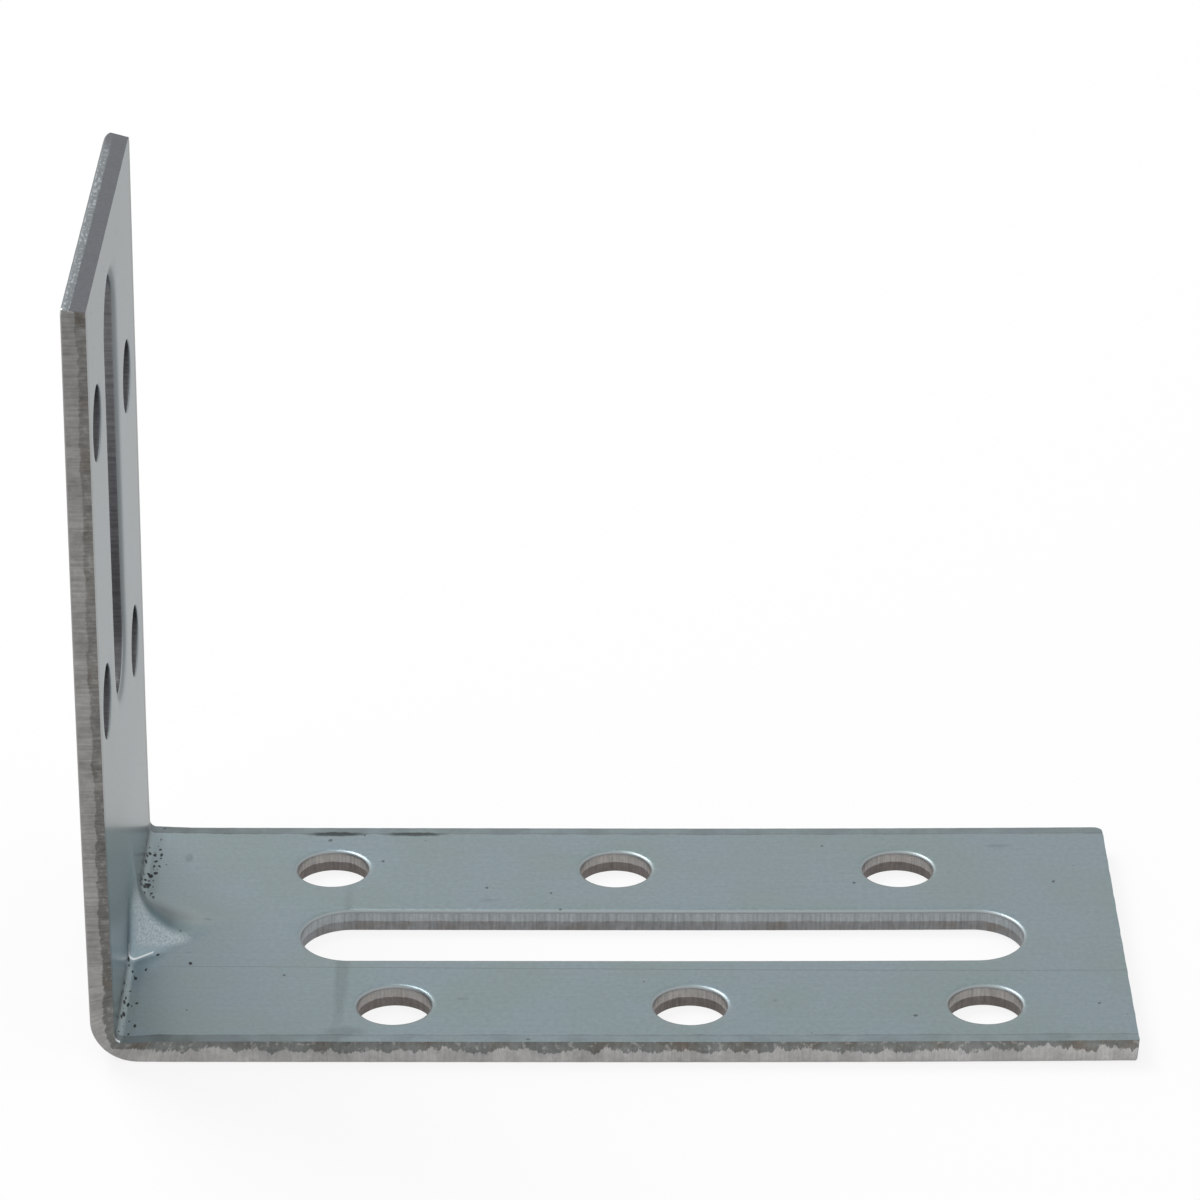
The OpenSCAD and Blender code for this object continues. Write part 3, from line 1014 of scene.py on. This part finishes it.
# %% [markdown]
# ## Finish: cut edges
#
# Steel that was cut after plating has no zinc of its own. A shear or a punch leaves two zones: where
# the tool sheared, the wall is burnished, light grey, with fine streaks in the tool's direction,
# straight through the sheet; where the steel tore, it is dark and rough. The border between them
# wanders. The three kinds of cut share this plan and differ in which zone lies on the inside, in
# where the border runs and in how ragged it is, so one loop makes all three.
#
# `borders` is the depth of the border below the inside face in millimetres, `ragged` is how far it
# wanders there, `islands` is how much of one zone's colour lies in the other as islands, `streaks`
# are the darkest and the lightest streak, and each zone has a colour. All of these are pairs, the
# upright's first and then the leg's. `rough` is the roughness of the inner and of the outer zone,
# and `torn_outside` says which zone is torn.

# %% The three kinds of cut
cuts = [
    dict(name="sheared_long_edge", inner=("#9A9996", "#8F9290"), outer=("#AAA9A7", "#C4C3C1"),
         rust="#80776E", borders=(0.62, 0.64), ragged=(0.9, 2.4), islands=0.5,
         streaks=((0.78, 1.18), (0.88, 1.1)), speckle=0.0, rough=(0.6, 0.38), torn_outside=False),
    dict(name="cropped_end", inner=("#616368", "#616368"), outer=("#7A7F82", "#7A7F82"),
         rust="#616368", borders=(1.0, 1.0), ragged=(0.25, 0.25), islands=0.0,
         streaks=((0.97, 1.03), (0.97, 1.03)), speckle=0.9, rough=(0.42, 0.46), torn_outside=False),
    dict(name="punched_wall", inner=("#868689", "#B2B8BB"), outer=("#7E7E81", "#9E9FA1"),
         rust="#918B85", borders=(0.88, 0.86), ragged=(0.2, 0.3), islands=0.0,
         streaks=((0.78, 1.18), (0.8, 1.16)), speckle=0.0, rough=(0.36, 0.5), torn_outside=True),
]
leg_hole_inner, leg_hole_outer = "#BAB7B4", "#A49C98"
print("cuts:", [cut["name"] for cut in cuts])

# %% [markdown]
# A cut's tone changes along the strip. Each ramp below is a stretch of the strip, from and to in
# millimetres, with the tone at its start and at its end. The long edges darken towards the top and at
# the fold, and brighten towards the leg's end. Low on the upright their torn zone is darker, and
# stains lie all along them.
#
# The walls of the upright's slot darken from top to bottom. Its round holes are painted dark all
# round: painted shade, for the little light that reaches into them. The leg's round holes are browner,
# with a dark torn zone.

# %% Tones along the strip
edge_ramps = (
    (-54.0, -36.0, 0.84, 1.0),
    (-10.0, -6.0, 1.0, 0.92),
    (14.0, 32.0, 1.0, 1.06),
    (45.0, 68.0, 1.0, 1.15),
)
slot_ramp = (-44.0, -27.0, 1.22, 0.58)
upright_hole_shade = 0.64
leg_hole_torn_tone = 0.7
print(len(edge_ramps), "ramps along the long edges")


def long_edge_tones(tree, places, along, on_leg, is_torn):
    """The ramps, then 1 less the low torn zone's darkness, then the stains."""
    tones = [
        add(tree, "MapRange", {"Value": along, 1: start, 2: end, 3: start_tone, 4: end_tone})
        for start, end, start_tone, end_tone in edge_ramps
    ]
    on_upright = add(tree, "Math", {0: 1.0, 1: on_leg}, operation="SUBTRACT")
    low_torn = add(tree, "MapRange", {"Value": along, 1: -32.0, 2: -14.0, 3: 0.0, 4: 0.2})
    for limit in (is_torn, on_upright):
        low_torn = add(tree, "Math", {0: low_torn, 1: limit}, operation="MULTIPLY")
    tones.append(add(tree, "Math", {0: 1.0, 1: low_torn}, operation="SUBTRACT"))
    stains = add(tree, "TexNoise", {"Vector": places, "Scale": 0.55, "Detail": 5.0, "Roughness": 0.65})
    tones.append(add(tree, "MapRange", {"Value": stains, 1: 0.3, 2: 0.6, 3: 0.8, 4: 1.1}))
    return tones


def punched_tones(tree, along, on_leg, is_torn, in_hole, leg_hole):
    """Each tone is 1 outside its place: the upright's holes, its slot, and the leg's torn holes."""
    on_upright = add(tree, "Math", {0: 1.0, 1: on_leg}, operation="SUBTRACT")
    upright_hole = add(tree, "Math", {0: in_hole, 1: on_upright}, operation="MULTIPLY")
    in_slot = add(tree, "Math", {0: 1.0, 1: in_hole}, operation="SUBTRACT")
    in_slot = add(tree, "Math", {0: in_slot, 1: on_upright}, operation="MULTIPLY")
    start, end, start_tone, end_tone = slot_ramp
    down_slot = add(tree, "MapRange", {"Value": along, 1: start, 2: end, 3: start_tone, 4: end_tone})
    torn_hole = add(tree, "Math", {0: leg_hole, 1: is_torn}, operation="MULTIPLY")
    return [
        add(tree, "MapRange", {"Value": upright_hole, 3: 1.0, 4: upright_hole_shade}),
        add(tree, "Mix", {0: in_slot, 2: 1.0, 3: down_slot}),
        add(tree, "MapRange", {"Value": torn_hole, 3: 1.0, 4: leg_hole_torn_tone}),
    ]


# %% [markdown]
# Two more functions make what every cut has: the border between its zones, and the zones' colours.
# A noise makes the border wander along the cut, and rust clouds lie on the torn zone only.

# %% Zones of a cut
def zone_border(tree, cut, places, depth, on_leg):
    """1 in the outer zone and 0 in the inner one: the depth, less a border that a noise makes
    wander, through a narrow ramp."""
    around = add(tree, "Mapping", {"Vector": places, "Scale": (0.9, 0.9, 0.0)})
    wander = add(tree, "TexNoise", {
        "Vector": around, "Scale": 1.0, "Detail": 6.0, "Roughness": 0.7})
    swing = add(tree, "Math", {0: wander, 1: 0.5}, operation="SUBTRACT")
    ragged = add(tree, "Mix", {0: on_leg, 2: cut["ragged"][0], 3: cut["ragged"][1]})
    true_border = add(tree, "Mix", {0: on_leg, 2: cut["borders"][0], 3: cut["borders"][1]})
    border = add(tree, "Math", {0: swing, 1: ragged, 2: true_border}, operation="MULTIPLY_ADD")
    past = add(tree, "Math", {0: depth, 1: border}, operation="SUBTRACT")
    return add(tree, "MapRange", {"Value": past, 1: -0.03, 2: 0.03})


def cut_colour(tree, cut, places, zone, is_torn, on_leg, leg_hole):
    """The two zones' colours, from the upright's to the leg's, with rust clouds on the torn one."""
    inner = add(tree, "Mix", {
        0: on_leg, 6: linear(cut["inner"][0]), 7: linear(cut["inner"][1])}, data_type="RGBA")
    outer = add(tree, "Mix", {
        0: on_leg, 6: linear(cut["outer"][0]), 7: linear(cut["outer"][1])}, data_type="RGBA")
    if leg_hole:
        inner = add(tree, "Mix", {
            0: leg_hole, 6: inner, 7: linear(leg_hole_inner)}, data_type="RGBA")
        outer = add(tree, "Mix", {
            0: leg_hole, 6: outer, 7: linear(leg_hole_outer)}, data_type="RGBA")
    zones = add(tree, "Mix", {0: zone, 6: inner, 7: outer}, data_type="RGBA")
    rust = add(tree, "TexNoise", {"Vector": places, "Scale": 0.5, "Detail": 4.0})
    rust_mix = add(tree, "MapRange", {"Value": rust, 1: 0.5, 2: 0.72, 4: 0.8})
    rust_mix = add(tree, "Math", {0: rust_mix, 1: is_torn}, operation="MULTIPLY")
    return add(tree, "Mix", {0: rust_mix, 6: zones, 7: linear(cut["rust"])}, data_type="RGBA")


print("a border wanders by up to", max(cut["ragged"][1] for cut in cuts) / 2, "mm either way")


# %% [markdown]
# The loop makes one finish for each kind of cut. `on_leg` goes from 0 on the upright to 1 on the leg.
# The streaks run straight through the sheet, 0.2 mm apart and longer than the sheet is thick. The
# cropped ends have bright specks in their outer zone instead, which the zinc left where it flowed
# over the torn steel, and hardly any outer zone at their back.

# %% Cut edges
for cut in cuts:
    cut_finish, tree, places, along, across, depth = new_finish(cut["name"])
    on_leg = add(tree, "MapRange", {"Value": along, 1: -9.0, 2: 3.0})
    outer_zone = zone_border(tree, cut, places, depth, on_leg)
    if cut["name"] == "cropped_end":
        before_back = add(tree, "MapRange", {"Value": across, 1: 10.5, 2: 13.5, 3: 1.0, 4: 0.15})
        outer_zone = add(tree, "Math", {0: outer_zone, 1: before_back}, operation="MULTIPLY")
    blotches = add(tree, "TexNoise", {"Vector": places, "Scale": 2.2, "Detail": 3.0})
    islands = add(tree, "MapRange", {
        "Value": blotches, 1: 0.58, 2: 0.62, 3: 0.0, 4: cut["islands"]})
    zone = add(tree, "Math", {0: outer_zone, 1: islands}, operation="MAXIMUM")
    is_torn = zone
    if not cut["torn_outside"]:
        is_torn = add(tree, "Math", {0: 1.0, 1: zone}, operation="SUBTRACT")
    leg_hole = None
    if cut["name"] == "punched_wall":
        from_slot = add(tree, "Math", {0: across, 1: slot_across}, operation="SUBTRACT")
        from_slot = add(tree, "Math", {0: from_slot}, operation="ABSOLUTE")
        in_hole = add(tree, "Math", {0: from_slot, 1: slot_band_half}, operation="GREATER_THAN")
        leg_hole = add(tree, "Math", {0: in_hole, 1: on_leg}, operation="MULTIPLY")
    colour = cut_colour(tree, cut, places, zone, is_torn, on_leg, leg_hole)

    through_places = add(tree, "Mapping", {"Vector": places, "Scale": (6.0, 6.0, 0.35)})
    streaks = add(tree, "TexNoise", {"Vector": through_places, "Scale": 1.0, "Detail": 4.0})
    (upright_dark, upright_light), (leg_dark, leg_light) = cut["streaks"]
    streak_dark = add(tree, "Mix", {0: on_leg, 2: upright_dark, 3: leg_dark})
    streak_light = add(tree, "Mix", {0: on_leg, 2: upright_light, 3: leg_light})
    streak_tone = add(tree, "MapRange", {
        "Value": streaks, 1: 0.3, 2: 0.7, 3: streak_dark, 4: streak_light})
    cut_grain = add(tree, "TexNoise", {
        "Vector": places, "Scale": 3.5, "Detail": 4.0, "Roughness": 0.7})
    grain_tone = add(tree, "MapRange", {"Value": cut_grain, 1: 0.3, 2: 0.7, 3: 0.9, 4: 1.1})
    stretched = add(tree, "Mapping", {"Vector": places, "Scale": (2.4, 2.4, 6.0)})
    fine = add(tree, "TexNoise", {"Vector": stretched, "Scale": 1.0, "Detail": 1.0})
    bright = add(tree, "MapRange", {"Value": fine, 1: 0.53, 2: 0.7, 3: 0.0, 4: cut["speckle"]})
    bright = add(tree, "Math", {0: bright, 1: outer_zone}, operation="MULTIPLY")
    tone = add(tree, "Math", {0: streak_tone, 1: grain_tone}, operation="MULTIPLY")
    tone = add(tree, "Math", {0: tone, 1: bright}, operation="ADD")

    cut_tones = []
    if cut["name"] == "punched_wall":
        cut_tones = punched_tones(tree, along, on_leg, is_torn, in_hole, leg_hole)
    if cut["name"] == "sheared_long_edge":
        cut_tones = long_edge_tones(tree, places, along, on_leg, is_torn)
    for next_tone in cut_tones:
        tone = add(tree, "Math", {0: tone, 1: next_tone}, operation="MULTIPLY")
    toned = add(tree, "Mix", {0: 1.0, 6: colour, 7: tone}, data_type="RGBA",
                blend_type="MULTIPLY")

    roughness = add(tree, "MapRange", {
        "Value": outer_zone, 3: cut["rough"][0], 4: cut["rough"][1]})
    relief = add(tree, "Math", {0: streaks, 1: cut_grain}, operation="ADD")
    bump = add(tree, "Bump", {"Height": relief, "Strength": 0.3, "Distance": 0.00004})
    shader = add(tree, "BsdfPrincipled", {
        "Base Color": toned, "Metallic": 1.0, "Roughness": roughness, "Normal": bump})
    add(tree, "OutputMaterial", {"Surface": shader})
    strip_mesh.materials.append(cut_finish)
    print("made", cut_finish.name, "with", len(tree.nodes), "nodes")

# %% [markdown]
# ## Floor
#
# A plain pale sheet, as in a product photo. It has to look white to the camera, keep the object's
# shadow, and not light the object from below. So its matt shader is mixed with a glow that only the
# camera and the metal's reflections see: where the matt share is in shadow, the mix is darker. The
# metal sees the floor dimmer than the camera does, as a real table is, seen from close to it.

# %% Floor
floor_size = 3000.0
floor_gap = 0.00003  # in metres: it keeps the floor out of the leg's underside
floor_seen_by_metal = 0.58
glow_share = 0.85
square = np.array([[-1, -1, 0], [1, -1, 0], [1, 1, 0], [-1, 1, 0]])
floor_mesh = build_mesh("floor", square * floor_size / 2, np.array([[0, 1, 2, 3]]))
floor = bpy.data.objects.new("floor", floor_mesh)
floor.location.z = -floor_gap
bpy.context.scene.collection.objects.link(floor)

floor_finish = bpy.data.materials.new("pale_floor")
floor_finish.use_nodes = True
tree = floor_finish.node_tree
tree.nodes.clear()
path = add(tree, "LightPath")
camera_ray, metal_ray = path.outputs["Is Camera Ray"], path.outputs["Is Glossy Ray"]
clear_ray = path.outputs["Is Transmission Ray"]
metal_sees = add(tree, "Math", {0: metal_ray, 1: floor_seen_by_metal}, operation="MULTIPLY")
level = add(tree, "Math", {0: camera_ray, 1: metal_sees}, operation="MAXIMUM")
level = add(tree, "Math", {0: clear_ray, 1: level}, operation="MAXIMUM")
seen = add(tree, "Math", {0: level, 1: 0.0}, operation="GREATER_THAN")
share = add(tree, "Math", {0: seen, 1: glow_share}, operation="MULTIPLY")
matt = add(tree, "BsdfDiffuse", {"Color": linear("#ECECEC")})
glow = add(tree, "Emission", {"Color": (1, 1, 1, 1), "Strength": level})
mixed = add(tree, "MixShader", {0: share, 1: matt, 2: glow})
add(tree, "OutputMaterial", {"Surface": mixed})
floor_mesh.materials.append(floor_finish)
print("floor of", floor_size / 1000, "m")

# %% [markdown]
# ## World
#
# The room is white to the camera. What lights the object is 0.75 of that, from all sides. Polished
# metal shows the room rather than its own colour, so the metal sees a room that is dim at the
# horizon and white from 25 degrees up: the flat leg mirrors the bright part, and the fold and the
# dart's foot, which look towards the horizon, go dark, as in the photo.

# %% World
room_light = 0.75
horizon_level = 0.58
bright_from = 0.42  # the sine of 25 degrees
world = bpy.data.worlds.new("studio")
bpy.context.scene.world = world
world.use_nodes = True
tree = world.node_tree
tree.nodes.clear()
path = add(tree, "LightPath")
seen = add(tree, "Math", {
    0: path.outputs["Is Camera Ray"], 1: path.outputs["Is Transmission Ray"]}, operation="MAXIMUM")
direction = add(tree, "TexCoord")
upwards = add(tree, "SeparateXYZ", {0: direction.outputs["Generated"]})
metal_sees = add(tree, "MapRange", {
    "Value": upwards.outputs[2], 1: 0.0, 2: bright_from, 3: horizon_level, 4: 1.0},
    interpolation_type="SMOOTHSTEP")
room_level = add(tree, "Mix", {
    0: path.outputs["Is Glossy Ray"], 2: room_light, 3: metal_sees})
room_level = add(tree, "Math", {0: seen, 1: room_level}, operation="MAXIMUM")
sky = add(tree, "Background", {"Color": (1, 1, 1, 1), "Strength": room_level})
add(tree, "OutputWorld", {"Surface": sky})
print("room light", room_light, "and horizon", horizon_level)


# %% [markdown]
# ## Soft box
#
# One square lamp, behind the object to the left and high up. It gives the soft shadow in front, and
# the white glints on the mouths of the holes. Its size and distance are those of a table-top soft
# box: 0.3 m across, 0.67 m away.

# %% Soft box
def soft_box(name, place, target, size, radiance):
    """A square lamp of even brightness: its power is radiance times area times pi."""
    lamp = bpy.data.lights.new(name, "AREA")
    lamp.shape = "SQUARE"
    lamp.size = size
    lamp.energy = radiance * size ** 2 * np.pi
    box = bpy.data.objects.new(name, lamp)
    box.location = place
    box.rotation_euler = (Vector(place) - Vector(target)).to_track_quat("Z", "Y").to_euler()
    bpy.context.scene.collection.objects.link(box)
    print(name, "of", round(lamp.energy, 2), "W")


soft_box("overhead_box", (-0.29, 0.3, 0.53), (0, 0, 0), 0.3, 8.0)

# %% [markdown]
# ## Camera
#
# A long lens, about 0.37 m away and 25 degrees above the horizon. Its place, angles and focal
# length were solved from the straight edges and hole rims of the photo. A tenth of the picture in
# shift puts the object where the photo has it.

# %% Camera
camera_data = bpy.data.cameras.new("camera")
camera_data.sensor_width = 36.0
camera_data.lens = 158.441
camera_data.shift_x = -0.1
camera_data.shift_y = -0.1
camera_data.clip_start = 0.01
camera = bpy.data.objects.new("camera", camera_data)
camera.location = (-0.00133, -0.319772, 0.182765)
camera.rotation_euler = np.radians([65.3574, -0.7211, -1.1214])
bpy.context.scene.collection.objects.link(camera)
bpy.context.scene.camera = camera
bpy.context.scene.view_settings.view_transform = "Standard"
print("camera", round(camera.location.length, 3), "m from the origin")
